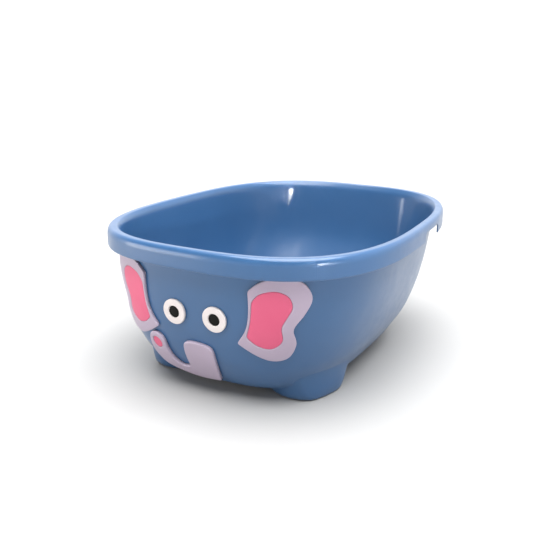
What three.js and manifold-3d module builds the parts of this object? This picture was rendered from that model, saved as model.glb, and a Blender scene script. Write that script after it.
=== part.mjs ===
// Baby bathtub with an elephant's face on its short front wall.
// Millimetres, +Z up, front wall towards -Y, floor at z = 0, mirror plane x = 0.
//
// The tub is one moulded shell: a basin with a rolled rim, a skirt hanging from the rim
// and four feet. Ears, eyes and trunk are bent plates bonded to the front wall, a plug
// closes the drain in the floor, and a rubber pad sits under each foot.

import * as THREE from "three";
import { mergeVertices } from "three/addons/utils/BufferGeometryUtils.js";
import { TessellateModifier } from "three/addons/modifiers/TessellateModifier.js";
import Module from "manifold-3d";

const wasm = await Module();
wasm.setup();

// ---------------------------------------------------------------- driving dimensions

const LENGTH = 700; // over the rim, front to back
const WIDTH = 554; // over the rim, side to side
const HEIGHT = 275; // floor to rim top
const WALL = 2.5; // shell thickness

const RIM_WALL_INSET = 18.5; // rim's outer edge to the wall's outer face
const RIM_INNER_INSET = 15; // rim's outer edge to the inner edge of its flat top
const RIM_ROUND = 7; // radius of the rim's outer shoulder
const RIM_THICKNESS = 3.5;
const SKIRT_DEPTH = 34.5;

const TOP_SQUARENESS = 2.86; // superellipse exponent at the rim
const FLOOR_SQUARENESS = 3.27; // the same at the floor
const FRONT_WIDENING = 0.043; // extra width of the front end at rim height

// The wall's outer face, from the underside to the top of the wall: how far it
// stands out to the side, to the front and to the back at each height.
const STATIONS = [
  { z: 12.5, side: 147, front: 253, back: 178 },
  { z: 28, side: 184, front: 279, back: 202 },
  { z: 49, side: 200, front: 295, back: 218 },
  { z: 88, side: 223, front: 313, back: 246 },
  { z: 152, side: 242, front: 326, back: 287 },
  { z: 217, side: 253, front: 330, back: 313 },
  {
    z: 268,
    side: WIDTH / 2 - RIM_WALL_INSET,
    front: LENGTH / 2 - RIM_WALL_INSET,
    back: LENGTH / 2 - RIM_WALL_INSET,
  },
];
const UNDERSIDE = STATIONS[0].z;
const WALL_TOP = STATIONS.at(-1).z;
const FLOOR = UNDERSIDE + WALL; // the surface that holds the water
const WALL_LEVELS = [12.5, 14, 18, 28, 41, 58, 88, 125, 165, 217, 268];

const AROUND = 68; // facets round the tub
const FACET = 20; // longest edge on the bent plates
const SPLINE_STEPS = 3; // edges between two points of a plate's outline
const CIRCLE_STEPS = 12; // edges on half a plate's circle

// Hand holds: a notch in the skirt on each long side, behind the tub's middle.
const HAND_HOLD = { centre: 50, width: 94, height: 18, round: 10 };

const FOOT = { edge: 4, top: 39, taper: 2 };
const FOOT_SIDE = [[0, 2], [4, 0.5], [12, 1.5], [39, 3]]; // foot's outer side: z, inset from the wall
const FOOT_PLACES = [
  { name: "front_left", x: -129, y: -178, radius: 56, spread: 73 },
  { name: "front_right", x: 129, y: -178, radius: 56, spread: 73 },
  { name: "rear_left", x: -98, y: 96, radius: 40, spread: 58 },
  { name: "rear_right", x: 98, y: 96, radius: 40, spread: 58 },
];
const FOOT_PAD = { radius: 30, thickness: 2.5, proud: 1.2 };

const DRAIN = { x: 0, y: -185, bore: 15, bossRadius: 21, bossBottom: 7.5 };
const GAP = 0.3; // clearance between touching pieces
const BOND = 0.4; // adhesive thickness under the face plates

const PLATE = { ear: 5, earPad: 4.4, trunk: 6, trunkSpot: 5.2, eye: 4.5, pupil: 3.6 };
const EYE = { x: 39.5, z: 159, radius: 22, pupil: 10.3 };

// ---------------------------------------------------------------- materials

const plastic = (color, roughness) =>
  new THREE.MeshStandardMaterial({ color, roughness, metalness: 0 });

const materials = {
  shell: plastic("#4f74a6", 0.3),
  lilac: plastic("#b3a6c0", 0.55),
  pink: plastic("#e0708c", 0.55),
  cream: plastic("#eee6e2", 0.4),
  black: plastic("#1a1712", 0.35),
  rubber: plastic("#3b4654", 0.85),
  plug: plastic("#dfe6ee", 0.4),
};

// ---------------------------------------------------------------- the wall's surface

const signedPower = (value, power) => Math.sign(value) * Math.abs(value) ** power;

// Slope of a station value at station i: the harmonic mean of the two chords beside it,
// so the curve never overshoots.
function stationSlope(key, i) {
  const chord = (a, b) => (b[key] - a[key]) / (b.z - a.z);
  const last = STATIONS.length - 1;
  if (i === 0) return chord(STATIONS[0], STATIONS[1]);
  if (i === last) return chord(STATIONS[last - 1], STATIONS[last]);
  const below = chord(STATIONS[i - 1], STATIONS[i]);
  const above = chord(STATIONS[i], STATIONS[i + 1]);
  return below * above > 0 ? (2 * below * above) / (below + above) : 0;
}

// A smooth curve through one station value.
function reach(key, z) {
  const level = THREE.MathUtils.clamp(z, UNDERSIDE, WALL_TOP);
  let i = 0;
  while (i < STATIONS.length - 2 && level > STATIONS[i + 1].z) i += 1;
  const [low, high] = [STATIONS[i], STATIONS[i + 1]];
  const step = high.z - low.z;
  const t = (level - low.z) / step;
  return (
    low[key] * (1 + 2 * t) * (1 - t) ** 2 +
    stationSlope(key, i) * step * t * (1 - t) ** 2 +
    high[key] * t ** 2 * (3 - 2 * t) -
    stationSlope(key, i + 1) * step * t ** 2 * (1 - t)
  );
}

// One point of an egg-like superellipse ring. Angle 0 is +X, a quarter turn is +Y.
function ringPoint(angle, z, { side, front, back, squareness, widening }) {
  const across = signedPower(Math.cos(angle), 2 / squareness);
  const along = signedPower(Math.sin(angle), 2 / squareness);
  const centre = 0.3 * (back - front);
  const depth = along < 0 ? front + centre : back - centre;
  return new THREE.Vector3(side * across * (1 - widening * along), centre + depth * along, z);
}

// A point of the wall's outer face, moved out by `out`, which is negative for inwards.
function wallPoint(angle, z, out = 0) {
  const rise = (z - UNDERSIDE) / (WALL_TOP - UNDERSIDE);
  return ringPoint(angle, z, {
    side: reach("side", z) + out,
    front: reach("front", z) + out,
    back: reach("back", z) + out,
    squareness: THREE.MathUtils.lerp(FLOOR_SQUARENESS, TOP_SQUARENESS, rise),
    widening: FRONT_WIDENING * rise,
  });
}

// A point of the rim, `inset` inside the rim's outer edge.
function rimPoint(angle, z, inset) {
  return ringPoint(angle, z, {
    side: WIDTH / 2 - inset,
    front: LENGTH / 2 - inset,
    back: LENGTH / 2 - inset,
    squareness: TOP_SQUARENESS,
    widening: FRONT_WIDENING,
  });
}

// ---------------------------------------------------------------- solids

// A closed solid from rings of points, bottom ring first, capped flat at both ends.
function loft(rings) {
  const positions = rings.flat().flatMap((p) => [p.x, p.y, p.z]);
  const index = [];
  for (let r = 0; r < rings.length - 1; r += 1) {
    for (let a = 0; a < AROUND; a += 1) {
      const b = (a + 1) % AROUND;
      const [low, high] = [r * AROUND, (r + 1) * AROUND];
      index.push(low + a, low + b, high + b, low + a, high + b, high + a);
    }
  }
  for (const [ring, flip] of [[0, true], [rings.length - 1, false]]) {
    const centre = new THREE.Vector3();
    rings[ring].forEach((p) => centre.addScaledVector(p, 1 / AROUND));
    const hub = positions.length / 3;
    positions.push(centre.x, centre.y, rings[ring][0].z);
    for (let a = 0; a < AROUND; a += 1) {
      const edge = [ring * AROUND + a, ring * AROUND + ((a + 1) % AROUND)];
      if (flip) edge.reverse();
      index.push(...edge, hub);
    }
  }
  const geometry = new THREE.BufferGeometry();
  geometry.setAttribute("position", new THREE.Float32BufferAttribute(positions, 3));
  geometry.setIndex(index);
  return toSolid(geometry);
}

function toSolid(geometry) {
  const bare = geometry.clone();
  bare.deleteAttribute("normal");
  bare.deleteAttribute("uv");
  const merged = mergeVertices(bare, 1e-3);
  return new wasm.Manifold(
    new wasm.Mesh({
      numProp: 3,
      vertProperties: new Float32Array(merged.attributes.position.array),
      triVerts: new Uint32Array(merged.index.array),
    }),
  );
}

function toGeometry(solid) {
  const mesh = solid.getMesh();
  const geometry = new THREE.BufferGeometry();
  geometry.setAttribute("position", new THREE.Float32BufferAttribute(mesh.vertProperties, 3));
  geometry.setIndex([...mesh.triVerts]);
  geometry.computeVertexNormals();
  return geometry;
}

// A turned solid. The profile is [radius, z] pairs, starting and ending on the axis.
function turned(profile, sides, x = 0, y = 0) {
  const points = profile.map(([radius, z]) => new THREE.Vector2(radius, z));
  return new THREE.LatheGeometry(points, sides).rotateX(Math.PI / 2).translate(x, y, 0);
}

const ring = (pointAt, z, offset) =>
  Array.from({ length: AROUND }, (_, a) => pointAt((a / AROUND) * 2 * Math.PI, z, offset));

// ---------------------------------------------------------------- tub shell

// The outside: up the wall, under the rim, down inside the skirt, up its outer face and
// over the shoulder to the rim's flat top.
function outsideRings() {
  const underRim = HEIGHT - RIM_THICKNESS;
  const skirtBottom = HEIGHT - SKIRT_DEPTH;
  const shoulder = HEIGHT - RIM_ROUND;
  const rings = WALL_LEVELS.map((z) => ring(wallPoint, z));
  rings.push(ring(rimPoint, underRim, RIM_WALL_INSET - 3));
  rings.push(ring(rimPoint, underRim, WALL + 3));
  rings.push(ring(rimPoint, underRim - 3, WALL));
  rings.push(ring(rimPoint, skirtBottom, WALL - 0.5));
  rings.push(ring(rimPoint, skirtBottom, 0));
  for (const turn of [0, 35, 65, 90]) {
    const angle = THREE.MathUtils.degToRad(turn);
    const inset = RIM_ROUND * (1 - Math.cos(angle));
    rings.push(ring(rimPoint, shoulder + RIM_ROUND * Math.sin(angle), inset));
  }
  return rings;
}

// The basin's hollow, from its floor up to the flared inner edge of the rim.
function basinRings() {
  const flare = RIM_WALL_INSET + WALL - RIM_INNER_INSET;
  const raisedWall = (angle, z, out) => wallPoint(angle, z, out).setZ(z + WALL);
  const rings = WALL_LEVELS.slice(0, -1).map((z) => ring(raisedWall, z, -WALL));
  for (const turn of [0, 30, 60, 90]) {
    const angle = THREE.MathUtils.degToRad(turn);
    const inset = RIM_INNER_INSET + flare * Math.cos(angle);
    rings.push(ring(rimPoint, HEIGHT - flare * (1 - Math.sin(angle)), inset));
  }
  rings.push(ring(rimPoint, HEIGHT + 5, RIM_INNER_INSET));
  return rings;
}

// A foot: a wide stud with a rounded edge and a shallow seat for its pad. Its outer side
// carries the wall's lowest stretch on down to the floor.
function footSolid({ x, y, radius, spread }) {
  const seatDepth = FOOT_PAD.thickness - FOOT_PAD.proud + GAP;
  const seatRadius = FOOT_PAD.radius + GAP;
  const bottom = FOOT_PAD.proud;
  const profile = [
    [0, bottom + seatDepth],
    [seatRadius, bottom + seatDepth],
    [seatRadius, bottom],
    [radius, bottom],
    [radius + FOOT.edge, bottom + 0.5 * FOOT.edge],
    [radius + 3 * FOOT.edge, UNDERSIDE - 1],
    [spread, UNDERSIDE + FOOT.edge],
    [spread - FOOT.taper, FOOT.top],
    [0, FOOT.top],
  ];
  const wallDown = FOOT_SIDE.map(([z, inset]) =>
    ring((angle) => wallPoint(angle, FOOT.top, -inset).setZ(z)),
  );
  return toSolid(turned(profile, 32, x, y)).intersect(loft(wallDown));
}

// The cutter for a hand hold: an arch-topped slab that crosses the skirt alone.
function handHoldCutter(side) {
  const { centre, width, height, round } = HAND_HOLD;
  const bottom = HEIGHT - SKIRT_DEPTH;
  const arch = new THREE.Shape();
  arch.moveTo(centre - width / 2, bottom - 2);
  arch.lineTo(centre + width / 2, bottom - 2);
  arch.absarc(centre + width / 2 - round, bottom + height - round, round, 0, Math.PI / 2);
  arch.absarc(centre - width / 2 + round, bottom + height - round, round, Math.PI / 2, Math.PI);
  const depth = RIM_WALL_INSET - WALL;
  const slab = new THREE.ExtrudeGeometry(arch, { depth, bevelEnabled: false, curveSegments: 4 });
  slab.rotateX(Math.PI / 2).rotateZ(Math.PI / 2);
  return toSolid(slab.translate(side < 0 ? -WIDTH / 2 - 2 : WIDTH / 2 + 2 - depth, 0, 0));
}

function tubShell() {
  const { x, y, bore, bossRadius, bossBottom } = DRAIN;
  const boss = [[0, bossBottom], [bossRadius, bossBottom], [bossRadius, FLOOR - 1], [0, FLOOR - 1]];
  const hole = [[0, 0], [bore, 0], [bore, HEIGHT], [0, HEIGHT]];
  let shell = loft(outsideRings());
  for (const place of FOOT_PLACES) shell = shell.add(footSolid(place));
  shell = shell.add(toSolid(turned(boss, 32, x, y)));
  shell = shell.subtract(loft(basinRings()));
  shell = shell.subtract(toSolid(turned(hole, 32, x, y)));
  for (const side of [-1, 1]) shell = shell.subtract(handHoldCutter(side));
  return toGeometry(shell);
}

// ---------------------------------------------------------------- plates on the face

// Angle on the front wall at an arc length from the middle of the face, measured along
// the wall at the height of the eyes.
const faceAngle = (() => {
  const steps = 800;
  const angles = [];
  const lengths = [0];
  for (let i = 0; i <= steps; i += 1) {
    angles.push(Math.PI * (1 + i / steps));
    if (i === 0) continue;
    const chord = wallPoint(angles[i], EYE.z).distanceTo(wallPoint(angles[i - 1], EYE.z));
    lengths.push(lengths[i - 1] + chord);
  }
  const middle = lengths[steps / 2];
  return (arc) => {
    const target = arc + middle;
    let i = 1;
    while (i < steps && lengths[i] < target) i += 1;
    const t = (target - lengths[i - 1]) / (lengths[i] - lengths[i - 1]);
    return THREE.MathUtils.lerp(angles[i - 1], angles[i], t);
  };
})();

// A point over the face: `arc` sideways, `z` up, `out` off the wall along its normal.
function facePoint(arc, z, out) {
  const angle = faceAngle(arc);
  const point = wallPoint(angle, z);
  const sideways = wallPoint(angle + 0.002, z).sub(wallPoint(angle - 0.002, z));
  const upwards = wallPoint(angle, z + 0.5).sub(wallPoint(angle, z - 0.5));
  return point.addScaledVector(sideways.cross(upwards).normalize(), out);
}

// A plate cut to a flat outline in (arc, z) and bent onto the wall.
function facePlate(shape, thickness, curveSegments = SPLINE_STEPS) {
  const flat = new THREE.ExtrudeGeometry(shape, {
    depth: thickness,
    bevelEnabled: false,
    curveSegments,
  });
  const fine = new TessellateModifier(FACET, 24).modify(flat);
  const position = fine.attributes.position;
  for (let i = 0; i < position.count; i += 1) {
    const out = BOND + position.getZ(i);
    const bent = facePoint(position.getX(i), position.getY(i), out);
    position.setXYZ(i, bent.x, bent.y, bent.z);
  }
  return toGeometry(toSolid(fine));
}

// An outline of one or more smooth runs; neighbouring runs meet at a corner.
function outline(...runs) {
  const shape = new THREE.Shape();
  shape.moveTo(...runs[0][0]);
  for (const run of runs) {
    shape.splineThru(run.slice(1).map(([arc, z]) => new THREE.Vector2(arc, z)));
  }
  return shape;
}

// The same outline on the other side of the face.
const mirrored = (runs) =>
  runs.map((run) => run.map(([arc, z]) => [-arc, z]).reverse()).reverse();

function disc(arc, z, halfWidth, halfHeight = halfWidth) {
  const shape = new THREE.Shape();
  shape.absellipse(arc, z, halfWidth, halfHeight, 0, 2 * Math.PI);
  return shape;
}

// An outline grown by `grow` all round, for the window that an inlay sits in.
function grown(shape, grow, steps) {
  const points = shape.getPoints(steps);
  if (points[0].distanceTo(points.at(-1)) < 1e-6) points.pop();
  if (THREE.ShapeUtils.isClockWise(points)) points.reverse();
  const moved = points.map((point, i) => {
    const before = points.at(i - 1);
    const after = points[(i + 1) % points.length];
    const along = after.clone().sub(before).normalize();
    return point.clone().add(new THREE.Vector2(along.y, -along.x).multiplyScalar(grow));
  });
  return new THREE.Path(moved);
}

const EAR = [
  [[99, 217], [120, 234], [149, 240], [178, 234], [194, 208], [186, 182], [171, 156], [178, 130],
    [168, 105], [142, 98], [112, 107], [80, 125]],
  [[80, 125], [95, 150], [100, 180], [99, 217]],
];
const EAR_PAD = [
  [[105, 199], [117, 213], [140, 219], [159, 211], [166, 193], [159, 175], [152, 158],
    [155, 135], [138, 121], [115, 125], [97, 138]],
  [[97, 138], [103, 165], [105, 199]],
];
const TRUNK = [
  [[30, 36], [31, 66], [29, 97], [19, 106], [-4, 109], [-22, 107], [-30, 97], [-30, 56]],
  [[-30, 56], [-51, 52], [-67, 61], [-73, 80], [-77, 102], [-93, 111], [-111, 102], [-118, 74],
    [-108, 48], [-69, 38], [-20, 32], [30, 36]],
];
const TRUNK_SPOT = { arc: -94.5, z: 91, halfWidth: 11, halfHeight: 10 };

// ---------------------------------------------------------------- small parts

// The stopper: a flange on the floor, a barrel through the drain with a lip under it
// that holds the seal, and an upright finger tab.
const STOPPER = { flange: 21, barrel: 11, lip: 13.4, lipBottom: 5.2, lipTop: 7.2 };

function drainPlug() {
  const seat = FLOOR + GAP;
  const profile = [
    [0, STOPPER.lipBottom],
    [STOPPER.lip - 1, STOPPER.lipBottom],
    [STOPPER.lip, STOPPER.lipTop],
    [STOPPER.barrel, STOPPER.lipTop],
    [STOPPER.barrel, seat],
    [STOPPER.flange, seat],
    [STOPPER.flange, seat + 1.6],
    [STOPPER.flange - 5, seat + 3.6],
    [0, seat + 4],
  ];
  const tab = new THREE.Shape();
  tab.moveTo(-9, 0);
  tab.lineTo(9, 0);
  tab.lineTo(9, 7);
  tab.absarc(0, 7, 9, 0, Math.PI);
  const upright = new THREE.ExtrudeGeometry(tab, { depth: 4, bevelEnabled: false, curveSegments: 6 });
  upright.rotateX(Math.PI / 2).translate(0, 2, seat + 2);
  const solid = toSolid(turned(profile, 24)).add(toSolid(upright));
  return toGeometry(solid.translate([DRAIN.x, DRAIN.y, 0]));
}

// The seal: a ribbed rubber sleeve round the stopper's barrel.
function plugSeal() {
  const bottom = STOPPER.lipTop + GAP;
  const top = FLOOR;
  const inner = STOPPER.barrel + GAP;
  const outer = DRAIN.bore - GAP;
  const root = outer - 1;
  const ribs = 4;
  const pitch = (top - bottom) / ribs;
  const profile = [[inner, bottom]];
  for (let rib = 0; rib <= ribs; rib += 1) {
    profile.push([rib % 2 ? outer : root, bottom + rib * pitch]);
  }
  profile.push([inner, top], [inner, bottom]);
  return turned(profile, 24, DRAIN.x, DRAIN.y);
}

function footPad({ x, y }) {
  const { radius, thickness } = FOOT_PAD;
  const profile = [[0, 0], [radius, 0], [radius, thickness], [0, thickness]];
  return turned(profile, 24, x, y);
}

// ---------------------------------------------------------------- assembly

const tub = new THREE.Group();

function place(name, geometry, material) {
  const mesh = new THREE.Mesh(geometry, material.clone());
  mesh.name = name;
  tub.add(mesh);
}

place("tub_shell", tubShell(), materials.shell);

for (const [side, mirror] of [["right", (runs) => runs], ["left", mirrored]]) {
  const sign = side === "right" ? 1 : -1;
  const ear = outline(...mirror(EAR));
  const pad = outline(...mirror(EAR_PAD));
  ear.holes.push(grown(pad, GAP, SPLINE_STEPS));
  place(`ear_${side}`, facePlate(ear, PLATE.ear), materials.lilac);
  place(`ear_pad_${side}`, facePlate(pad, PLATE.earPad), materials.pink);

  const eye = disc(sign * EYE.x, EYE.z, EYE.radius);
  const pupil = disc(sign * EYE.x, EYE.z, EYE.pupil);
  eye.holes.push(grown(pupil, GAP, CIRCLE_STEPS));
  place(`eye_white_${side}`, facePlate(eye, PLATE.eye, CIRCLE_STEPS), materials.cream);
  place(`pupil_${side}`, facePlate(pupil, PLATE.pupil, CIRCLE_STEPS), materials.black);
}

const trunk = outline(...TRUNK);
const spot = disc(TRUNK_SPOT.arc, TRUNK_SPOT.z, TRUNK_SPOT.halfWidth, TRUNK_SPOT.halfHeight);
trunk.holes.push(grown(spot, GAP, CIRCLE_STEPS));
place("trunk", facePlate(trunk, PLATE.trunk), materials.lilac);
place("trunk_spot", facePlate(spot, PLATE.trunkSpot, CIRCLE_STEPS), materials.pink);

for (const foot of FOOT_PLACES) place(`foot_pad_${foot.name}`, footPad(foot), materials.rubber);

place("drain_plug", drainPlug(), materials.plug);
place("plug_seal", plugSeal(), materials.rubber);

export default tub;
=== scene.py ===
"""Baby bathtub with an elephant's face: the looks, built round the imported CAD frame.

Sizes of the tub are millimetres in the CAD's frame (+Z up, the face towards -Y, floor at
z = 0), and make_piece turns them into metres. Floor, lamps and camera are in metres.
"""

import math

import bmesh
import bpy
import numpy as np
from mathutils import Matrix, Vector
from mathutils.geometry import delaunay_2d_cdt


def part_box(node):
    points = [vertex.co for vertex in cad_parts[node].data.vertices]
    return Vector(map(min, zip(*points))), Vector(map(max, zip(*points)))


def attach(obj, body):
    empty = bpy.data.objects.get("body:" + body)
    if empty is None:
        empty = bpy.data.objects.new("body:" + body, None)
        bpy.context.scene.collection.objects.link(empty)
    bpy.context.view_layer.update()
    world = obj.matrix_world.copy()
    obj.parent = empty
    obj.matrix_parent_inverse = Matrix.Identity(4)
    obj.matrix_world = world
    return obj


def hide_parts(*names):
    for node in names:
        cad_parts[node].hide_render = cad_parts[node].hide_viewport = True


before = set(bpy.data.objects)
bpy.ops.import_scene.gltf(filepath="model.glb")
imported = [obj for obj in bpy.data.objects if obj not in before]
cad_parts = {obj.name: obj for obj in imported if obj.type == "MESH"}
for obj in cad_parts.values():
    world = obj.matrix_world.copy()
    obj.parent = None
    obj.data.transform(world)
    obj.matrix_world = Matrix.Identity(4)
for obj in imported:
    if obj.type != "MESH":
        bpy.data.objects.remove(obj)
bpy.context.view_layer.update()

MM = 0.001
WELD_DISTANCE = 0.00001

# ---------------------------------------------------------------- driving dimensions

shell_low, shell_high = (Vector(corner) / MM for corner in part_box("tub_shell"))
LENGTH = shell_high.y - shell_low.y
HEIGHT = shell_high.z
WIDTH = 554.0
WALL = 2.5

# The rim's section. Insets are measured inwards from its outer edge.
RIM_WALL_INSET = 18.5
RIM_INNER_INSET = 15.0
RIM_ROUND = 7.0
RIM_SHOULDER = 13.0
RIM_THICKNESS = 3.5
INNER_FLARE = 22.0
SKIRT_DEPTH = 34.5
SKIRT_BOTTOM = HEIGHT - SKIRT_DEPTH
UNDER_RIM_FILLET = 5.0
UNDER_RIM_ROUND = 3.0

# The outline from above: a superellipse, wider towards the face at its top, and with its
# widest place moved towards the longer end.
TOP_SQUARENESS = 2.86
FLOOR_SQUARENESS = 3.27
FRONT_WIDENING = 0.043
CENTRE_SHIFT = 0.3

# The wall's outer face: height, then how far it stands out to the side, front and back.
RIM_REACH = LENGTH / 2 - RIM_WALL_INSET
STATIONS = np.array([
    [12.5, 147, 253, 178],
    [28, 184, 279, 202],
    [49, 200, 295, 218],
    [88, 223, 313, 246],
    [152, 242, 326, 287],
    [217, 253, 330, 313],
    [268, WIDTH / 2 - RIM_WALL_INSET, RIM_REACH, RIM_REACH],
], dtype=float)
STATION_Z, SIDE, FRONT, BACK = STATIONS.T
UNDERSIDE, WALL_TOP = STATION_Z[0], STATION_Z[-1]
FLOOR = UNDERSIDE + WALL

HAND_HOLD_CENTRE = 50.0
HAND_HOLD_WIDTH = 94.0
HAND_HOLD_HEIGHT = 18.0
HAND_HOLD_ROUND = 10.0

# Feet: place, radius of the flat underside, and how far the flare round it spreads.
FEET = {
    "front_left": (-129, -178, 56, 73),
    "front_right": (129, -178, 56, 73),
    "rear_left": (-98, 96, 40, 58),
    "rear_right": (98, 96, 40, 58),
}
FOOT_BOTTOM = 1.2
PAD_RADIUS = 30.0
PAD_THICKNESS = 2.5

# The flare ends this far past the foot's spread. On the tub's outside it starts this far
# outside the wall's outline at the top of the feet, and is this wide.
FLARE_MORE = 9.0
FOOT_SIDE_TOP = 39.0
SIDE_FLARE_START = 1.0
SIDE_FLARE = 15.0

# A foot's side: how far out in the flare (1 is its end), then the height there. The shell
# below FEET_REACH_UP is pulled down over the feet, blended in over FOOT_BLEND.
NO_FOOT = 99.0
FOOT_SIDE = [
    (0, FOOT_BOTTOM), (0.1, 1.6), (0.2, 2.8), (0.3, 5.5), (0.42, 12), (0.52, 20), (0.65, 34),
    (1.0, 70), (1.3, NO_FOOT),
]
FEET_REACH_UP = 85.0
FOOT_BLEND = 12.0

DRAIN_Y = -185.0
DRAIN_BORE = 15.0
DRAIN_BOSS = 21.0
DRAIN_BOSS_BOTTOM = 7.5

# Clearance between fitted parts, and between the wall and the plates bonded to it.
GAP = 0.3
BOND = 0.4

# The mould's seams down the skirt, one at each corner.
SEAM_ANGLES = [math.radians(a) for a in (52, 128, 232, 308)]
SEAM_HEIGHT = 0.4
SEAM_SPREAD = 0.0026

# How many columns the tub's mesh has, and how they crowd at the hand holds' ends and seams.
AROUND = 460
HOLD_CROWDING = 4
HOLD_CROWD_INSET = 2
HOLD_CROWD_WIDTH = 7
SEAM_CROWDING = 9
SEAM_CROWD_SPREAD = 0.006

# ---------------------------------------------------------------- surfaces of the tub


def signed_power(value, power):
    """The value's size to a power, with the value's own sign."""
    return np.sign(value) * np.abs(value) ** power


def reach(values, z):
    """A curve through one column of the stations that never overshoots."""
    chords = np.diff(values) / np.diff(STATION_Z)
    slopes = np.concatenate([
        chords[:1],
        2 * chords[:-1] * chords[1:] / (chords[:-1] + chords[1:]),
        chords[-1:],
    ])
    z = np.clip(z, UNDERSIDE, WALL_TOP)
    i = np.clip(np.searchsorted(STATION_Z, z, side="right") - 1, 0, len(STATION_Z) - 2)
    step = STATION_Z[i + 1] - STATION_Z[i]
    t = (z - STATION_Z[i]) / step
    return (
        values[i] * (1 + 2 * t) * (1 - t) ** 2
        + slopes[i] * step * t * (1 - t) ** 2
        + values[i + 1] * t**2 * (3 - 2 * t)
        - slopes[i + 1] * step * t**2 * (1 - t)
    )


def ring(angle, z, side, front, back, squareness, widening):
    """Points of an egg-like superellipse. Angle 0 is +X, a quarter turn is +Y."""
    across = signed_power(np.cos(angle), 2 / squareness)
    along = signed_power(np.sin(angle), 2 / squareness)
    centre = CENTRE_SHIFT * (back - front)
    depth = np.where(along < 0, front + centre, back - centre)
    x = side * across * (1 - widening * along)
    y = centre + depth * along
    return np.stack([x, y, z + 0 * x], axis=-1)


def wall(angle, z, out=0.0):
    """The wall's outer face, moved out by `out`; negative is inwards."""
    rise = (z - UNDERSIDE) / (WALL_TOP - UNDERSIDE)
    squareness = FLOOR_SQUARENESS + (TOP_SQUARENESS - FLOOR_SQUARENESS) * rise
    sizes = [reach(column, z) + out for column in (SIDE, FRONT, BACK)]
    return ring(angle, z, *sizes, squareness, FRONT_WIDENING * rise)


def rim(angle, z, inset):
    """The rim, `inset` inside its outer edge."""
    long_half = LENGTH / 2 - inset
    short_half = WIDTH / 2 - inset
    return ring(angle, z, short_half, long_half, long_half, TOP_SQUARENESS, FRONT_WIDENING)


def rim_angles():
    """Angles for the tub's columns, closer together at the hand holds' ends and the seams."""
    trials = 20001
    fine = np.linspace(0, 2 * math.pi, trials)
    points = rim(fine, HEIGHT, 0)
    steps = np.linalg.norm(np.diff(points, axis=0), axis=1)
    middle = 0.5 * (fine[1:] + fine[:-1])
    middle_y = 0.5 * (points[1:, 1] + points[:-1, 1])
    density = np.ones_like(middle)
    for side in (-1, 1):
        crowd_y = HAND_HOLD_CENTRE + side * (HAND_HOLD_WIDTH / 2 - HOLD_CROWD_INSET)
        density += HOLD_CROWDING * np.exp(-((middle_y - crowd_y) / HOLD_CROWD_WIDTH) ** 2)
    for seam in SEAM_ANGLES:
        density += SEAM_CROWDING * np.exp(-((middle - seam) / SEAM_CROWD_SPREAD) ** 2)
    travelled = np.concatenate([[0], np.cumsum(steps * density)])
    wanted = np.arange(AROUND) / AROUND * travelled[-1]
    return np.interp(wanted, travelled, fine)


ANGLES = rim_angles()

# ---------------------------------------------------------------- mesh helpers


def make_piece(name, points, faces, material, body="tub"):
    """A smooth-shaded mesh object from millimetre points, riding on a CAD body."""
    mesh = bpy.data.meshes.new(name)
    mesh.from_pydata([tuple(p) for p in np.asarray(points) * MM], [], faces)
    mesh.validate()
    mesh.shade_smooth()
    mesh.materials.append(material)
    piece = bpy.data.objects.new(name, mesh)
    bpy.context.scene.collection.objects.link(piece)
    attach(piece, body)
    return piece


def stand_for(node):
    """Hides the CAD node that a piece stands in for."""
    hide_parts(node)


def weld(piece):
    """Joins the points that rings share and turns all faces outwards."""
    bm = bmesh.new()
    bm.from_mesh(piece.data)
    bmesh.ops.remove_doubles(bm, verts=bm.verts, dist=WELD_DISTANCE)
    bmesh.ops.recalc_face_normals(bm, faces=bm.faces)
    bm.to_mesh(piece.data)
    bm.free()
    piece.data.shade_smooth()


def strip_faces(first, second, count):
    """Quads between two closed rings of `count` points that start at those indices."""
    after = [(a + 1) % count for a in range(count)]
    return [(first + a, first + b, second + b, second + a) for a, b in enumerate(after)]


def soft_min(a, b, blend):
    """The lower of two heights, with a rounded change from one to the other."""
    mix = np.clip(0.5 + 0.5 * (b - a) / blend, 0, 1)
    return b * (1 - mix) + a * mix - blend * mix * (1 - mix)


# ---------------------------------------------------------------- tub shell


def inset_from_foot_wall(points):
    """How far each point lies inside the wall's outline at the top of the feet."""
    side, front, back = (reach(column, FOOT_SIDE_TOP) for column in (SIDE, FRONT, BACK))
    rise = (FOOT_SIDE_TOP - UNDERSIDE) / (WALL_TOP - UNDERSIDE)
    squareness = FLOOR_SQUARENESS + (TOP_SQUARENESS - FLOOR_SQUARENESS) * rise
    centre = CENTRE_SHIFT * (back - front)
    x, y = points[:, 0], points[:, 1] - centre
    depth = np.where(y < 0, front + centre, back - centre)
    size = (np.abs(x / side) ** squareness + np.abs(y / depth) ** squareness) ** (1 / squareness)
    return (1 - size) * np.hypot(x, y) / np.maximum(size, 0.2)


def foot_height(points):
    """Height of the feet's lower face under each point, very high away from the feet."""
    outside = -SIDE_FLARE_START - inset_from_foot_wall(points)
    past_side = np.clip(outside / SIDE_FLARE, 0, 2)
    lowest = np.full(len(points), NO_FOOT)
    for x, y, radius, spread in FEET.values():
        distance = np.hypot(points[:, 0] - x, points[:, 1] - y)
        past_edge = np.clip((distance - radius) / (spread + FLARE_MORE - radius), 0, 2)
        past = (past_edge**3 + past_side**3) ** (1 / 3)
        lowest = np.minimum(lowest, np.interp(past, *zip(*FOOT_SIDE)))
    return lowest


def with_feet(points):
    """Pulls the outer skin down over the feet."""
    moved = points.copy()
    low = points[:, 2] < FEET_REACH_UP
    moved[low, 2] = soft_min(points[low, 2], foot_height(points[low]), FOOT_BLEND)
    return moved


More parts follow.
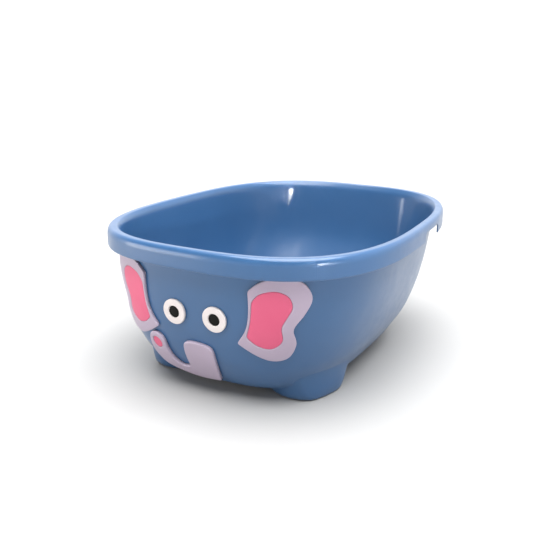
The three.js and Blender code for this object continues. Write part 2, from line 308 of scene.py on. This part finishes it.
def skirt_bottom(points):
    """Height of the skirt's lower edge under the rim's points, raised in the hand holds."""
    from_centre = np.abs(points[:, 1] - HAND_HOLD_CENTRE)
    straight = HAND_HOLD_WIDTH / 2 - HAND_HOLD_ROUND
    into_round = np.clip(from_centre - straight, 0, HAND_HOLD_ROUND)
    drop = HAND_HOLD_ROUND - np.sqrt(HAND_HOLD_ROUND**2 - into_round**2)
    inside = from_centre < HAND_HOLD_WIDTH / 2
    return np.where(inside, SKIRT_BOTTOM + HAND_HOLD_HEIGHT - drop, SKIRT_BOTTOM)


def seam_relief(angles):
    """The raised line that the mould leaves down the skirt at its four corners."""
    return sum(
        SEAM_HEIGHT * np.exp(-((angles - seam) / SEAM_SPREAD) ** 2) for seam in SEAM_ANGLES
    )


def arc_steps(count):
    """Angles from 0 to a quarter turn."""
    return [math.pi / 2 * i / (count - 1) for i in range(count)]


def with_height(points, z):
    """The same points moved to height z, one for all or one for each."""
    points = points.copy()
    points[:, 2] = z
    return points


def outer_rings():
    """Up the wall, under the rim, round the skirt's edge and over the shoulder."""
    under_rim = HEIGHT - RIM_THICKNESS
    foot_levels = np.linspace(UNDERSIDE, 80, 84)
    wall_levels = np.linspace(85, WALL_TOP - 6, 30)
    rings = [with_feet(wall(ANGLES, z)) for z in (*foot_levels, *wall_levels)]
    for turn in arc_steps(6):
        inset = RIM_WALL_INSET - UNDER_RIM_FILLET * (1 - math.cos(turn))
        rings.append(rim(ANGLES, under_rim - UNDER_RIM_FILLET * (1 - math.sin(turn)), inset))
    for turn in arc_steps(5):
        inset = WALL + UNDER_RIM_ROUND * (1 - math.sin(turn))
        rings.append(rim(ANGLES, under_rim - UNDER_RIM_ROUND * (1 - math.cos(turn)), inset))

    bottom = skirt_bottom(rim(ANGLES, HEIGHT, 0))
    for fraction in (0.75, 0.5, 0.25, 0.1):
        z = bottom + (under_rim - UNDER_RIM_ROUND - bottom) * fraction
        rings.append(with_height(rim(ANGLES, 0, WALL), z))
    lip_height = 2
    lip = [
        (WALL, 0.9), (WALL - 0.3, 0.25), (WALL - 0.9, 0), (1.4, 0.05),
        (0.7, 0.4), (0.2, 1.1), (0, lip_height),
    ]
    for inset, up in lip:
        rings.append(with_height(rim(ANGLES, 0, inset), bottom + up))

    shoulder = HEIGHT - RIM_SHOULDER
    relief = seam_relief(ANGLES)
    for fraction in (0.15, 0.3, 0.5, 0.7, 0.85, 0.95):
        z = bottom + lip_height + (shoulder - bottom - lip_height) * fraction
        rings.append(with_height(rim(ANGLES, 0, -relief), z))
    for turn in arc_steps(11):
        inset = RIM_ROUND * (1 - math.cos(turn))
        fade = relief * math.cos(turn)
        rings.append(rim(ANGLES, shoulder + RIM_SHOULDER * math.sin(turn), inset - fade))
    return rings


def inner_rings():
    """From the rim's flat top over the wall's flared mouth and down to the basin's floor."""
    flat_top_insets = (9.0, 11.0, 12.5, RIM_INNER_INSET - 1.2)
    rings = [rim(ANGLES, HEIGHT, inset) for inset in flat_top_insets]
    widest = RIM_WALL_INSET + WALL - RIM_INNER_INSET
    for down in (0.6, 1.4, 2.4, 3.6, 5, 6.5, 8.5, 11, 14, 17.5, INNER_FLARE):
        flare = widest * (1 - down / INNER_FLARE) ** 4
        rings.append(with_height(wall(ANGLES, HEIGHT - down - WALL, flare - WALL), HEIGHT - down))
    wall_levels = np.linspace(HEIGHT - INNER_FLARE - 6, 54, 34)
    corner_levels = np.linspace(50, UNDERSIDE, 22)
    for z in (*wall_levels, *corner_levels):
        rings.append(with_height(wall(ANGLES, z, -WALL), z + WALL))
    return rings


def floor_rings(edge, z, hole_radius):
    """Rings from the drain's edge out to the floor's edge ring, at height z."""
    hub = np.stack([
        hole_radius * np.cos(ANGLES),
        DRAIN_Y + hole_radius * np.sin(ANGLES),
        np.full(AROUND, z),
    ], axis=-1)
    rings = []
    for fraction in (0, 0.02, 0.05, 0.1, *np.linspace(0.16, 0.94, 26)):
        rings.append(hub + (with_height(edge, z) - hub) * fraction)
    return rings


def relaxed(rings, first, last, passes):
    """Rounds the section of the rings first..last by averaging each with its neighbours."""
    rings = list(rings)
    for _ in range(passes):
        smooth = [
            0.25 * rings[i - 1] + 0.5 * rings[i] + 0.25 * rings[i + 1]
            for i in range(first, last)
        ]
        rings[first:last] = smooth
    return rings


def drain_rings():
    """The drain's bore, from the floor down and round the boss under it."""
    section = [
        (DRAIN_BORE + 0.8, FLOOR), (DRAIN_BORE + 0.2, FLOOR - 0.25), (DRAIN_BORE, FLOOR - 0.8),
        (DRAIN_BORE, DRAIN_BOSS_BOTTOM + 0.6), (DRAIN_BORE + 0.6, DRAIN_BOSS_BOTTOM),
        (DRAIN_BOSS - 0.8, DRAIN_BOSS_BOTTOM), (DRAIN_BOSS, DRAIN_BOSS_BOTTOM + 0.8),
        (DRAIN_BOSS, UNDERSIDE - 1.2), (DRAIN_BOSS + 0.4, UNDERSIDE - 0.4),
    ]
    return [
        np.stack([r * np.cos(ANGLES), DRAIN_Y + r * np.sin(ANGLES), np.full(AROUND, z)], axis=-1)
        for r, z in section
    ]


def tub_shell(material):
    """The whole moulding as one closed run of rings: under the floor, up the outside, over
    the rim, down the inside, over the basin's floor and down through the drain."""
    underside = floor_rings(wall(ANGLES, UNDERSIDE), UNDERSIDE, DRAIN_BOSS + 1.4)
    underside = [with_feet(points) for points in underside]
    outside = outer_rings()
    inside = inner_rings()
    basin_floor = floor_rings(inside[-1], FLOOR, DRAIN_BORE + 0.8)[::-1]
    rings = [*underside, *outside, *inside, *basin_floor[:-1], *drain_rings()]
    floor_edge = len(underside) + len(outside) + len(inside)
    rings = relaxed(rings, floor_edge - 14, floor_edge + 8, passes=10)
    points = np.concatenate(rings)
    faces = []
    for i in range(len(rings)):
        following = (i + 1) % len(rings)
        faces += strip_faces(i * AROUND, following * AROUND, AROUND)
    piece = make_piece("tub_shell_skin", points, faces, material)
    stand_for("tub_shell")


# ---------------------------------------------------------------- plates on the face

# Outlines on the face: runs of (arc, z) points, with a corner where one run meets the next.
EAR = [
    [(99, 217), (120, 234), (149, 240), (178, 234), (194, 208), (186, 182), (171, 156),
     (178, 130), (168, 105), (142, 98), (112, 107), (80, 125)],
    [(80, 125), (95, 150), (100, 180), (99, 217)],
]
EAR_PAD = [
    [(105, 199), (117, 213), (140, 219), (159, 211), (166, 193), (159, 175), (152, 158),
     (155, 135), (138, 121), (115, 125), (97, 138)],
    [(97, 138), (103, 165), (105, 199)],
]
TRUNK = [
    [(30, 36), (31, 66), (29, 97), (19, 106), (-4, 109), (-22, 107), (-30, 97), (-30, 56)],
    [(-30, 56), (-51, 52), (-67, 61), (-73, 80), (-77, 102), (-93, 111), (-111, 102),
     (-118, 74), (-108, 48), (-69, 38), (-20, 32), (30, 36)],
]
TRUNK_SPOT = (-94.5, 91, 11, 10)
EYE_ARC = 39.5
EYE_Z = 159.0
EYE_RADIUS = 22.0
PUPIL_RADIUS = 10.3


def arc_table():
    """Angles round the front half, and arc length from the middle at the eyes' height."""
    count = 4001
    angles = np.linspace(math.pi, 2 * math.pi, count)
    points = wall(angles, np.full(count, EYE_Z))
    lengths = np.concatenate([[0], np.cumsum(np.linalg.norm(np.diff(points, axis=0), axis=1))])
    return angles, lengths - lengths[count // 2]


FACE_ANGLES, FACE_ARCS = arc_table()


def over_face(flat, out):
    """Bends flat (arc, z) points onto the wall, `out` off it along its normal."""
    angle = np.interp(flat[:, 0], FACE_ARCS, FACE_ANGLES)
    z = flat[:, 1]
    aside, up = 0.002, 0.5
    sideways = wall(angle + aside, z) - wall(angle - aside, z)
    upwards = wall(angle, z + up) - wall(angle, z - up)
    normal = np.cross(sideways, upwards)
    normal /= np.linalg.norm(normal, axis=1)[:, None]
    return wall(angle, z) + normal * np.asarray(out)[..., None]


def spline_run(points, steps=14):
    """A uniform Catmull-Rom curve through the points, its last point left out."""
    points = np.array(points, dtype=float)
    padded = np.vstack([points[0], points, points[-1]])
    run = []
    for p0, p1, p2, p3 in zip(padded, padded[1:], padded[2:], padded[3:]):
        for t in np.arange(steps) / steps:
            run.append(0.5 * (
                2 * p1 + (p2 - p0) * t
                + (2 * p0 - 5 * p1 + 4 * p2 - p3) * t**2
                + (3 * p1 - p0 - 3 * p2 + p3) * t**3
            ))
    return run


def closed_outline(runs, spacing=1.6, rounding=5):
    """One smooth closed outline of evenly spaced points, its corners just rounded."""
    points = np.array([p for run in runs for p in spline_run(run)])
    loop = np.vstack([points, points[:1]])
    travelled = np.concatenate([[0], np.cumsum(np.linalg.norm(np.diff(loop, axis=0), axis=1))])
    count = int(travelled[-1] / spacing)
    wanted = np.arange(count) / count * travelled[-1]
    even = np.stack([np.interp(wanted, travelled, loop[:, i]) for i in (0, 1)], axis=-1)
    for _ in range(rounding):
        even = 0.25 * np.roll(even, 1, 0) + 0.5 * even + 0.25 * np.roll(even, -1, 0)
    return counterclockwise(even)


def counterclockwise(points):
    """The outline, turned round if its signed area is negative."""
    x, y = points.T
    area = np.sum(x * np.roll(y, -1) - np.roll(x, -1) * y)
    return points if area > 0 else points[::-1]


def ellipse(arc, z, half_width, half_height, count=72):
    """A counterclockwise ellipse round (arc, z)."""
    turn = np.arange(count) / count * 2 * math.pi
    return np.stack([arc + half_width * np.cos(turn), z + half_height * np.sin(turn)], axis=-1)


def grown(outline, grow):
    """A counterclockwise outline moved outwards by `grow`."""
    along = np.roll(outline, -1, 0) - np.roll(outline, 1, 0)
    along /= np.linalg.norm(along, axis=1)[:, None]
    return outline + np.stack([along[:, 1], -along[:, 0]], axis=-1) * grow


def inside_outline(points, outline):
    """Which points lie inside a closed outline, by counting crossings."""
    x, y = points[:, 0, None], points[:, 1, None]
    x0, y0 = outline.T
    x1, y1 = np.roll(outline, -1, 0).T
    straddles = (y0 > y) != (y1 > y)
    safe = np.where(y1 == y0, 1e-9, y1 - y0)
    crosses = straddles & (x < x0 + (y - y0) / safe * (x1 - x0))
    return crosses.sum(axis=1) % 2 == 1


def filled(outline, windows, spacing=5.0):
    """Triangles over an outline with windows in it: (flat points, faces). The outline's
    and the windows' own points come first."""
    loops = [outline, *windows]
    low = outline.min(axis=0)
    high = outline.max(axis=0)
    columns = np.arange(low[0], high[0], spacing)
    rows = np.arange(low[1], high[1], spacing)
    grid = np.array([
        (x + 0.5 * spacing * (i % 2), y) for i, y in enumerate(rows) for x in columns
    ])
    keep = inside_outline(grid, grown(outline, -0.5 * spacing))
    for window in windows:
        keep &= ~inside_outline(grid, grown(window, 0.5 * spacing))
    points = np.vstack([*loops, grid[keep]])
    edges = []
    start = 0
    for loop in loops:
        count = len(loop)
        edges += [(start + a, start + (a + 1) % count) for a in range(count)]
        start += count
    result = delaunay_2d_cdt([Vector(p) for p in points], edges, [], 0, 1e-6)
    flat = np.array([tuple(p) for p in result[0]])
    faces = result[2]
    centres = np.array([flat[list(face)].mean(axis=0) for face in faces])
    solid = inside_outline(centres, outline)
    for window in windows:
        solid &= ~inside_outline(centres, window)
    return flat, [tuple(face) for face, wanted in zip(faces, solid) if wanted]


def plate(name, material, outline, thickness, windows=(), round_edge=1.4, crown=0.0):
    """A plate cut to a flat outline, bent onto the wall, with its front edges rounded."""
    loops = [outline, *windows]
    signs = [-1] + [1] * len(windows)
    top_loops = [grown(loop, sign * round_edge) for loop, sign in zip(loops, signs)]
    top, top_faces = filled(top_loops[0], top_loops[1:])
    base, base_faces = filled(outline, list(windows))
    middle = outline.mean(axis=0)
    spread = np.linalg.norm(outline - middle, axis=1).max()
    lift = crown * np.clip(1 - (np.linalg.norm(top - middle, axis=1) / spread) ** 2, 0, 1)

    points = [over_face(top, BOND + thickness + lift), over_face(base, np.full(len(base), BOND))]
    faces = list(top_faces)
    faces += [tuple(len(top) + i for i in reversed(face)) for face in base_faces]
    start = len(top) + len(base)
    side = [(0.0, 0.0), *(
        (round_edge * (1 - math.cos(turn)), thickness - round_edge * (1 - math.sin(turn)))
        for turn in arc_steps(6)
    )]
    for index, (loop, sign) in enumerate(zip(loops, signs)):
        count = len(loop)
        for inset, out in side:
            points.append(over_face(grown(loop, sign * inset), np.full(count, BOND + out)))
        for level in range(len(side) - 1):
            strip = strip_faces(start + level * count, start + (level + 1) * count, count)
            faces += strip if index == 0 else [face[::-1] for face in strip]
        start += len(side) * count
    piece = make_piece(name, np.concatenate(points), faces, material)
    weld(piece)
    return piece


def mirrored(runs):
    """Runs for the other side of the face, in the order that keeps the outline closed."""
    return [[(-arc, z) for arc, z in reversed(run)] for run in reversed(runs)]


def elephant_face(looks):
    """Ears, inner ears, eyes, pupils, trunk and the spot on its tip."""
    for side, mirror, sign in (("right", list, 1), ("left", mirrored, -1)):
        pad = closed_outline(mirror(EAR_PAD))
        ear = plate(f"ear_{side}_plate", looks["lilac"], closed_outline(mirror(EAR)), 5.0,
                    windows=[grown(pad, GAP)])
        inner = plate(f"ear_pad_{side}_plate", looks["pink"], pad, 4.4, round_edge=0.9)
        hole = ellipse(sign * EYE_ARC, EYE_Z, PUPIL_RADIUS + GAP, PUPIL_RADIUS + GAP)
        disc = ellipse(sign * EYE_ARC, EYE_Z, EYE_RADIUS, EYE_RADIUS)
        white = plate(f"eye_{side}_disc", looks["cream"], disc, 4.5, windows=[hole])
        dot = ellipse(sign * EYE_ARC, EYE_Z, PUPIL_RADIUS, PUPIL_RADIUS)
        pupil = plate(f"pupil_{side}_disc", looks["black"], dot, 3.6, crown=0.9)
        stand_for(f"ear_{side}")
        stand_for(f"ear_pad_{side}")
        stand_for(f"eye_white_{side}")
        stand_for(f"pupil_{side}")
    spot_outline = ellipse(*TRUNK_SPOT)
    trunk = plate("trunk_plate", looks["lilac"], closed_outline(TRUNK), 6.0,
                  windows=[grown(spot_outline, GAP)], round_edge=1.8)
    spot = plate("trunk_spot_plate", looks["pink"], spot_outline, 5.2, round_edge=0.9)
    stand_for("trunk")
    stand_for("trunk_spot")


# ---------------------------------------------------------------- small parts


def turned(name, section, material, x, y, body, sides=96):
    """A turned piece from a closed (radius, z) section, round the vertical through x, y."""
    turns = np.arange(sides) / sides * 2 * math.pi
    rings = [
        np.stack([x + r * np.cos(turns), y + r * np.sin(turns), np.full(sides, z)], axis=-1)
        for r, z in section
    ]
    faces = []
    for i in range(len(section)):
        following = (i + 1) % len(section)
        if section[i][0] > 0 or section[following][0] > 0:
            faces += strip_faces(i * sides, following * sides, sides)
    piece = make_piece(name, np.concatenate(rings), faces, material, body)
    weld(piece)
    return piece


def foot_pads(material):
    """Rubber pads with three ring grooves in the face that grips the floor."""
    groove = 0.7
    section = [(0, PAD_THICKNESS), (0, 0)]
    for radius in (8.0, 15.0, 22.0):
        section += [(radius - 1.0, 0), (radius - 0.5, groove)]
        section += [(radius + 0.5, groove), (radius + 1.0, 0)]
    section += [(PAD_RADIUS - 0.6, 0), (PAD_RADIUS - 0.15, 0.2), (PAD_RADIUS, 0.7)]
    section += [(PAD_RADIUS, PAD_THICKNESS)]
    for name, (x, y, _, _) in FEET.items():
        pad = turned(f"foot_pad_{name}_disc", section, material, x, y, "tub")
        stand_for(f"foot_pad_{name}")


def drain_stopper(plug_material, seal_material):
    """The stopper with its finger tab, and the ribbed seal round its barrel."""
    low, high = (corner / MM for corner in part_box("drain_plug"))
    seat = FLOOR + GAP
    flange = high.x
    barrel = 11.0
    lip = 13.4
    lip_top = 7.2
    section = [
        (0, low.z), (lip - 1.3, low.z), (lip - 0.9, low.z + 0.1), (lip, lip_top - 0.3),
        (lip - 0.3, lip_top), (barrel, lip_top), (barrel, seat), (flange - 0.4, seat),
        (flange, seat + 0.4), (flange, seat + 1.2), (flange - 0.6, seat + 1.8),
        (flange - 4.6, seat + 3.3), (flange - 5.6, seat + 3.6), (0, seat + 4),
    ]
    stopper = turned("drain_plug_stopper", section, plug_material, 0, DRAIN_Y, "plug")
    tab = finger_tab(plug_material, seat + 3.4, high.z)
    stand_for("drain_plug")

    inner = barrel + GAP
    outer = DRAIN_BORE - GAP
    bottom = lip_top + GAP
    steps = 24
    steps_per_half_rib = 6
    section = [(inner, FLOOR), (inner, bottom)]
    for step in range(steps + 1):
        bulge = 0.5 - 0.5 * math.cos(step / steps_per_half_rib * math.pi)
        section.append((outer - 1 + bulge, bottom + (FLOOR - bottom) * step / steps))
    seal = turned("plug_seal_sleeve", section, seal_material, 0, DRAIN_Y, "plug")
    stand_for("plug_seal")


def finger_tab(material, bottom, top):
    """An upright rounded tab, thicker at its rim so that it can be gripped."""
    half = 9.0
    rise = top - bottom - half
    turns = np.linspace(0, math.pi, 40)
    round_top = [(half * math.cos(t), rise + half * math.sin(t)) for t in turns]
    outline = np.array([(-half, 0), (half, 0), *round_top])
    centre = np.array([0, rise])
    points = []
    # From the middle of one face to the edge, then back: how large the outline is, and its y.
    layers = [(0.70, -1.3), (0.84, -1.4), (0.93, -2.0), (0.985, -1.6), (1.0, -0.8)]
    layers += [(scale, -y) for scale, y in reversed(layers)]
    for scale, y in layers:
        flat = centre + (outline - centre) * scale
        points += [(x, DRAIN_Y + y, bottom + z) for x, z in flat]
    count = len(outline)
    faces = []
    for level in range(len(layers) - 1):
        faces += strip_faces(level * count, (level + 1) * count, count)
    faces.append(tuple(range(count)))
    faces.append(tuple(range(len(points) - count, len(points)))[::-1])
    tab = make_piece("drain_plug_tab", points, faces, material, "plug")
    weld(tab)
    return tab


# ---------------------------------------------------------------- materials


def add_node(tree, kind, **settings):
    """A node with its inputs, or else its properties, set by name."""
    node = tree.nodes.new(kind)
    for key, value in settings.items():
        if key in node.inputs:
            node.inputs[key].default_value = value
        else:
            setattr(node, key, value)
    return node


def noise_at(tree, scale, detail=3.0, rough=0.5):
    """Noise in the object's own space, `scale` features to the metre."""
    place = add_node(tree, "ShaderNodeTexCoord")
    noise = add_node(tree, "ShaderNodeTexNoise", Scale=scale, Detail=detail, Roughness=rough)
    tree.links.new(place.outputs["Object"], noise.inputs["Vector"])
    return noise.outputs["Fac"]


def remapped(tree, value, low, high, centre=0.5, spread=0.25):
    """A value stretched, from centre - spread to centre + spread, to run from low to high."""
    node = add_node(tree, "ShaderNodeMapRange")
    node.inputs["From Min"].default_value = centre - spread
    node.inputs["From Max"].default_value = centre + spread
    node.inputs["To Min"].default_value = low
    node.inputs["To Max"].default_value = high
    tree.links.new(value, node.inputs["Value"])
    return node.outputs["Result"]


def blend_colours(tree, factor, first, second):
    """A mix of two colours, each given as numbers or as another node's output."""
    node = add_node(tree, "ShaderNodeMix", data_type="RGBA")
    tree.links.new(factor, node.inputs["Factor"])
    for name, colour in (("A", first), ("B", second)):
        socket = next(s for s in node.inputs if s.name == name and s.type == "RGBA")
        if isinstance(colour, bpy.types.NodeSocket):
            tree.links.new(colour, socket)
        else:
            socket.default_value = (*colour, 1)
    return next(s for s in node.outputs if s.type == "RGBA")


def surface_bump(tree, shader, layers):
    """Stacked bump: (noise scale, height in metres) from coarse to fine."""
    normal = None
    for scale, height in layers:
        bump = add_node(tree, "ShaderNodeBump", Strength=1.0, Distance=height)
        tree.links.new(noise_at(tree, scale, 2.0), bump.inputs["Height"])
        if normal is not None:
            tree.links.new(normal, bump.inputs["Normal"])
        normal = bump.outputs["Normal"]
    tree.links.new(normal, shader.inputs["Normal"])


def moulded(name, deep, pale, edge, roughness, layers, sockets=()):
    """Moulded plastic or rubber: faint clouds of colour, edges painted paler as a painted highlight
    and some wear, uneven gloss.
    """
    material = bpy.data.materials.new(name)
    material.use_nodes = True
    tree = material.node_tree
    shader = tree.nodes["Principled BSDF"]
    clouds = remapped(tree, noise_at(tree, 9.0, 4.0), 0, 1)
    speckle = remapped(tree, noise_at(tree, 420.0, 2.0), 0, 0.22)
    body = blend_colours(tree, clouds, deep, pale)
    body = blend_colours(tree, speckle, body, pale)
    geometry = add_node(tree, "ShaderNodeNewGeometry")
    # Sharp convex edges mixed toward the edge colour: a painted edge highlight, partly wear.
    edge_highlight_and_wear = remapped(tree, geometry.outputs["Pointiness"], 0, 0.55, centre=0.56, spread=0.05)
    body = blend_colours(tree, edge_highlight_and_wear, body, edge)
    tree.links.new(body, shader.inputs["Base Color"])
    gloss = remapped(tree, noise_at(tree, 38.0, 5.0, 0.6), roughness - 0.05, roughness + 0.06)
    tree.links.new(gloss, shader.inputs["Roughness"])
    surface_bump(tree, shader, layers)
    for socket, value in sockets:
        shader.inputs[socket].default_value = value
    return material


def make_looks():
    """The materials by slot: deep, pale and edge colour (painted edge highlight and wear),
    roughness, bump and other sockets.
    """
    grain = ((30.0, 0.00003), (260.0, 0.000006))
    satin = ((160.0, 0.00004), (1500.0, 0.00002))
    return {
        "shell": moulded("tub_plastic", (0.026, 0.088, 0.208), (0.032, 0.099, 0.225),
                         (0.11, 0.19, 0.34), 0.34, grain,
                         (("IOR", 1.45), ("Coat Weight", 0.4), ("Coat Roughness", 0.12))),
        "lilac": moulded("lilac_plastic", (0.345, 0.285, 0.365), (0.375, 0.31, 0.395),
                         (0.56, 0.5, 0.6), 0.42, satin, (("IOR", 1.5),)),
        "pink": moulded("pink_plastic", (0.56, 0.075, 0.16), (0.61, 0.10, 0.19),
                        (0.76, 0.28, 0.38), 0.48, satin, (("IOR", 1.46),)),
        "cream": moulded("cream_plastic", (0.62, 0.56, 0.55), (0.67, 0.62, 0.61),
                         (0.8, 0.74, 0.72), 0.35, satin, (("IOR", 1.48),)),
        "black": moulded("black_plastic", (0.004, 0.0035, 0.003), (0.007, 0.006, 0.005),
                         (0.02, 0.018, 0.016), 0.5, satin, (("Specular IOR Level", 0.1),)),
        "rubber": moulded("pad_rubber", (0.025, 0.03, 0.04), (0.035, 0.042, 0.055),
                          (0.07, 0.08, 0.1), 0.72, ((300.0, 0.0001), (1800.0, 0.00005))),
        "plug": moulded("plug_plastic", (0.15, 0.18, 0.22), (0.18, 0.21, 0.25),
                        (0.3, 0.33, 0.37), 0.34, satin, (("IOR", 1.5),)),
    }


# ---------------------------------------------------------------- floor, light, camera


def pale_floor():
    """The pale sheet that the tub stands on."""
    size = 9.0
    mesh = bpy.data.meshes.new("floor")
    corners = [(-size, -size, 0), (size, -size, 0), (size, size, 0), (-size, size, 0)]
    mesh.from_pydata(corners, [], [(0, 1, 2, 3)])
    floor = bpy.data.objects.new("floor", mesh)
    bpy.context.scene.collection.objects.link(floor)
    material = bpy.data.materials.new("floor_paper")
    material.use_nodes = True
    tree = material.node_tree
    shader = tree.nodes["Principled BSDF"]
    shader.inputs["Roughness"].default_value = 0.85
    tone = blend_colours(tree, noise_at(tree, 4.0), (0.35, 0.35, 0.35), (0.37, 0.37, 0.37))
    tree.links.new(tone, shader.inputs["Base Color"])
    mesh.materials.append(material)


def softbox(name, place, target, size, power, colour=(1, 1, 1), spread=180):
    """A rectangular lamp aimed at a point, its beam `spread` degrees wide."""
    light = bpy.data.lights.new(name, "AREA")
    light.shape = "RECTANGLE"
    light.size, light.size_y = size
    light.energy = power
    light.color = colour
    light.spread = math.radians(spread)
    lamp = bpy.data.objects.new(name, light)
    lamp.location = place
    lamp.rotation_euler = (Vector(target) - Vector(place)).to_track_quat("-Z", "Y").to_euler()
    bpy.context.scene.collection.objects.link(lamp)


def room():
    """Surroundings that are white near the floor, pale behind the tub and dim in front."""
    world = bpy.data.worlds.new("studio")
    world.use_nodes = True
    tree = world.node_tree
    direction = add_node(tree, "ShaderNodeTexCoord")
    split = add_node(tree, "ShaderNodeSeparateXYZ")
    ramp = add_node(tree, "ShaderNodeValToRGB")
    stops = ramp.color_ramp.elements
    for stop, (height, grey) in zip(stops, ((0.35, 0.85), (0.6, 0.5))):
        stop.position = height
        stop.color = (grey, grey, grey, 1)
    top = stops.new(1.0)
    top.color = (0.8, 0.8, 0.8, 1)
    tree.links.new(direction.outputs["Generated"], split.inputs["Vector"])
    tree.links.new(split.outputs["Z"], ramp.inputs["Fac"])
    away = remapped(tree, split.outputs["Y"], 0, 1, centre=0.0, spread=0.35)
    low = remapped(tree, split.outputs["Z"], 1, 0, centre=0.17, spread=0.12)
    tone = blend_colours(tree, away, (0.05, 0.05, 0.05), ramp.outputs["Color"])
    tone = blend_colours(tree, low, tone, (0.56, 0.56, 0.56))
    background = tree.nodes["Background"]
    background.inputs["Strength"].default_value = 2.0
    tree.links.new(tone, background.inputs["Color"])
    bpy.context.scene.world = world
    bpy.context.scene.view_settings.view_transform = "Standard"


def lamps():
    """Soft light from overhead, the right and low on the left, and narrow beams for the
    highlights inside the basin and on the rim's front right corner."""
    light = bpy.data.lights.new("overhead", "SUN")
    light.energy = 7.6
    light.angle = math.radians(65)
    lamp = bpy.data.objects.new("overhead", light)
    lamp.rotation_euler = (math.radians(5), math.radians(6), 0)
    bpy.context.scene.collection.objects.link(lamp)
    softbox("ceiling", (-0.05, -0.8, 1.4), (-0.1, 0.2, 0.1), (0.22, 0.22), 0.4)
    softbox("right_window", (1.5, -0.8, 0.42), (0, 0, 0.2), (0.5, 0.3), 2.5)
    softbox("basin_glint", (0.94, -1.12, 0.89), (-0.15, 0.295, 0.312), (0.22, 0.03), 0.05, spread=5)
    softbox("corner_glint", (1.4, -0.9, 0.42), (0.205, -0.29, 0.3), (0.4, 0.04), 0.09, spread=14)
    softbox("wall_glint", (-1.36, -0.4, 0.69), (0.124, 0.308, 0.33), (0.3, 0.12), 0.009, spread=8)
    softbox("left_panel", (-0.95, -1.05, 0.28), (0, 0, 0.15), (0.9, 0.5), 7, (1, 0.95, 0.91))


def camera():
    """The photograph's viewpoint: above the tub's front right corner."""
    azimuth = math.radians(29.21)
    elevation = math.radians(17.17)
    roll = math.radians(0.16)
    distance = 1.4103
    aim_sideways = -0.0287
    aim_height = 0.1396
    back = Vector((
        math.sin(azimuth) * math.cos(elevation),
        -math.cos(azimuth) * math.cos(elevation),
        math.sin(elevation),
    ))
    right = Vector((math.cos(azimuth), math.sin(azimuth), 0))
    up = back.cross(right)
    target = right * aim_sideways + Vector((0, 0, aim_height))
    axes = Matrix((
        right * math.cos(roll) + up * math.sin(roll),
        up * math.cos(roll) - right * math.sin(roll),
        back,
    )).transposed()
    lens = bpy.data.cameras.new("camera")
    lens.sensor_width = 36.0
    lens.lens = 45.44
    lens.clip_end = 50
    eye = bpy.data.objects.new("camera", lens)
    eye.matrix_world = Matrix.Translation(target + back * distance) @ axes.to_4x4()
    bpy.context.scene.collection.objects.link(eye)
    bpy.context.scene.camera = eye


# ---------------------------------------------------------------- build

looks = make_looks()
camera()
room()
lamps()
pale_floor()
tub_shell(looks["shell"])
elephant_face(looks)
foot_pads(looks["rubber"])
drain_stopper(looks["plug"], looks["rubber"])
